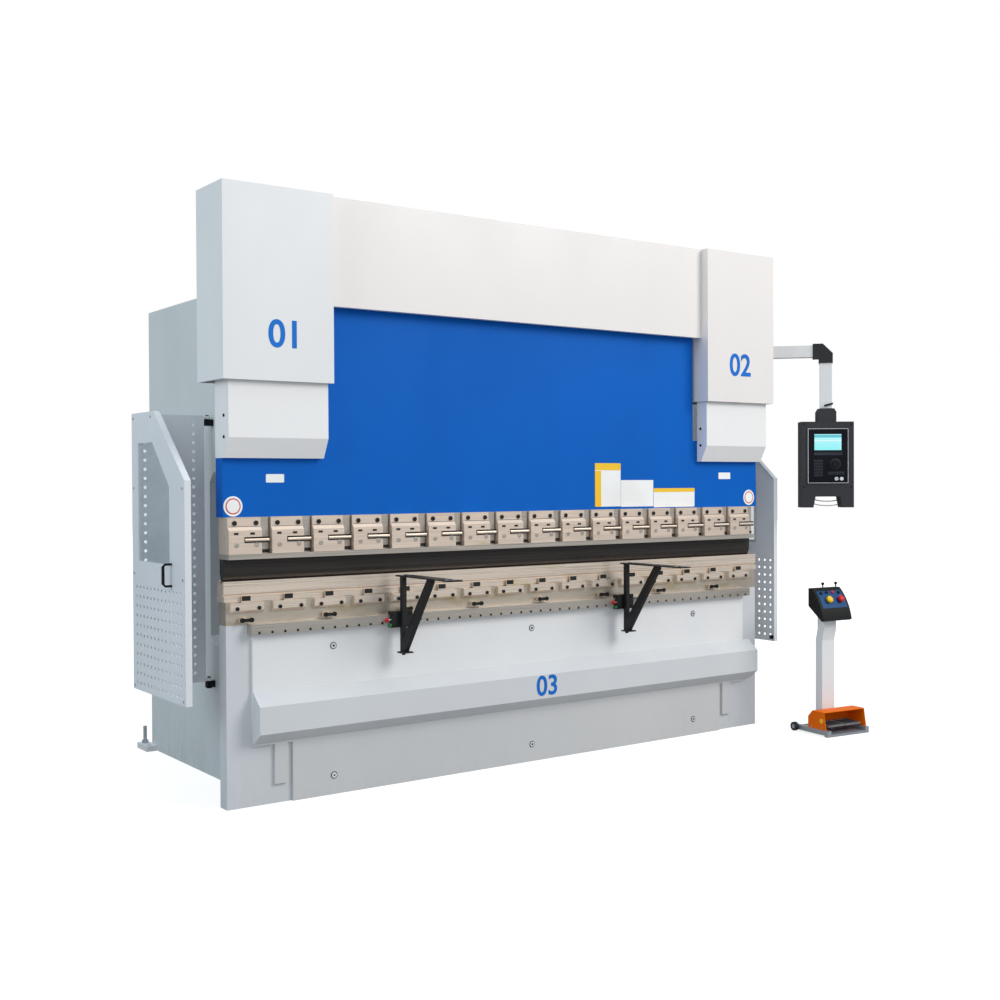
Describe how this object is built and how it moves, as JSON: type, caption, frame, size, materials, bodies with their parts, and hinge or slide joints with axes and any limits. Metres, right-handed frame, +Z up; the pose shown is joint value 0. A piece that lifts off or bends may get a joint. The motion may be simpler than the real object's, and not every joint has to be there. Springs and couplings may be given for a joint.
{
  "type": "hydraulic press brake",
  "caption": "Hydraulic sheet-metal press brake with a blue ram, clamped tooling, side guards, front support arms, a swinging control pendant and a rolling foot control stand.",
  "frame": {"origin": "on the floor, at the centre of the bed plate's underside, under the middle of the bending line", "axes": "+X right along the bed as the operator sees it, +Y back into the machine, +Z up"},
  "size_m": [3.9442, 2.0331, 2.632],
  "materials": {
    "bare_steel": "ground and oiled",
    "black_paint": "satin enamel",
    "black_plastic": "moulded",
    "black_steel": "blackened and oiled",
    "blue_paint": "satin powder coat",
    "charcoal_plastic": "fine textured",
    "chromed_steel": "ground chrome",
    "clear_pane": "clear sheet",
    "dark_paint": "matt enamel",
    "guard_paint": "satin powder coat",
    "orange_paint": "satin enamel",
    "rubber_tread": "moulded",
    "white_paint": "satin powder coat",
    "zinc_steel": "zinc plated"
  },
  "bodies": {
    "root": {"apron_cover": "white_paint", "bed_front_panel": "white_paint", "bed_plate": "white_paint", "die_clamps": "bare_steel", "die_rail": "bare_steel", "electric_cabinet": "white_paint", "front_rail": "bare_steel", "gauge_beam": "white_paint", "gauge_fingers": "bare_steel", "gauge_guides": "bare_steel", "guard_hinges": "black_plastic", "left_cylinder": "dark_paint", "left_side_frame": "white_paint", "left_upper_cover": "white_paint", "levelling_bolts": "zinc_steel", "oil_tank": "white_paint", "pedal_guard": "orange_paint", "pendant_bracket": "white_paint", "pump_motor": "dark_paint", "rear_cross_beam": "white_paint", "rear_feet": "white_paint", "right_cylinder": "dark_paint", "right_side_frame": "white_paint", "right_upper_cover": "white_paint", "stand_base": "zinc_steel", "stand_column": "white_paint", "stand_console": "black_plastic", "top_front_cover": "white_paint", "v_die": "bare_steel"},
    "ram": {"ram_plate": "blue_paint", "left_ram_skirt": "white_paint", "right_ram_skirt": "white_paint", "cylinder_rods": "chromed_steel", "punch_clamps": "bare_steel", "punch_rail": "bare_steel", "punch": "black_steel"},
    "left_support_arm": {"left_support_arm": "black_paint"},
    "right_support_arm": {"right_support_arm": "black_paint"},
    "left_guard": {"left_guard": "guard_paint", "left_guard_window": "clear_pane", "left_guard_handle": "black_plastic"},
    "right_guard": {"right_guard": "guard_paint", "right_guard_window": "clear_pane", "right_guard_handle": "black_plastic"},
    "pendant_arm": {"pendant_arm": "white_paint"},
    "pendant_box": {"pendant_box": "charcoal_plastic", "pendant_panel": "black_plastic"},
    "left_pedal": {"left_pedal": "black_paint"},
    "right_pedal": {"right_pedal": "black_paint"},
    "left_stand_wheel": {"left_stand_wheel": "rubber_tread"},
    "right_stand_wheel": {"right_stand_wheel": "rubber_tread"},
    "left_console_lever": {"left_console_lever": "black_plastic"},
    "right_console_lever": {"right_console_lever": "black_plastic"}
  },
  "joints": [
    {"name": "ram_slide", "type": "slide", "parent": "root", "child": "ram", "axis": [0, 0, 1], "range_m": [0, 0.2]},
    {"name": "left_support_slide", "type": "slide", "parent": "root", "child": "left_support_arm", "axis": [1, 0, 0], "range_m": [-0.62, 0.6]},
    {"name": "right_support_slide", "type": "slide", "parent": "root", "child": "right_support_arm", "axis": [1, 0, 0], "range_m": [-0.6, 0.8]},
    {"name": "left_guard_swing", "type": "hinge", "parent": "root", "child": "left_guard", "pos_m": [-1.426, 0.565, 1.695], "axis": [0, 0, -1], "range_deg": [0, 90]},
    {"name": "right_guard_swing", "type": "hinge", "parent": "root", "child": "right_guard", "pos_m": [1.426, 0.565, 1.695], "axis": [0, 0, 1], "range_deg": [0, 90]},
    {"name": "pendant_swing", "type": "hinge", "parent": "root", "child": "pendant_arm", "pos_m": [1.72, 0.045, 2.117], "axis": [0, 0, 1], "range_deg": [-38, 60]},
    {"name": "pendant_turn", "type": "hinge", "parent": "pendant_arm", "child": "pendant_box", "pos_m": [1.974, -0.232, 1.791], "axis": [0, 0, 1], "range_deg": [-90, 90]},
    {"name": "left_pedal_press", "type": "hinge", "parent": "root", "child": "left_pedal", "pos_m": [1.71209, -0.42717, 0.052], "axis": [0.9936, -0.1132, 0], "range_deg": [0, 8], "stiffness_Nm_per_rad": 12, "springref_deg": -20.05},
    {"name": "right_pedal_press", "type": "hinge", "parent": "root", "child": "right_pedal", "pos_m": [1.83191, -0.44083, 0.052], "axis": [0.9936, -0.1132, 0], "range_deg": [0, 8], "stiffness_Nm_per_rad": 12, "springref_deg": -20.05},
    {"name": "left_wheel_spin", "type": "hinge", "parent": "root", "child": "left_stand_wheel", "pos_m": [1.62652, -0.30369, 0.024], "axis": [0.9936, -0.1132, 0], "continuous": true},
    {"name": "right_wheel_spin", "type": "hinge", "parent": "root", "child": "right_stand_wheel", "pos_m": [1.94307, -0.33976, 0.024], "axis": [0.9936, -0.1132, 0], "continuous": true},
    {"name": "left_lever_tilt", "type": "hinge", "parent": "root", "child": "left_console_lever", "pos_m": [1.76784, -0.3822, 0.7918], "axis": [0.9936, -0.1132, 0], "range_deg": [-12, 12]},
    {"name": "right_lever_tilt", "type": "hinge", "parent": "root", "child": "right_console_lever", "pos_m": [1.86322, -0.39306, 0.7918], "axis": [0.9936, -0.1132, 0], "range_deg": [-12, 12]}
  ]
}
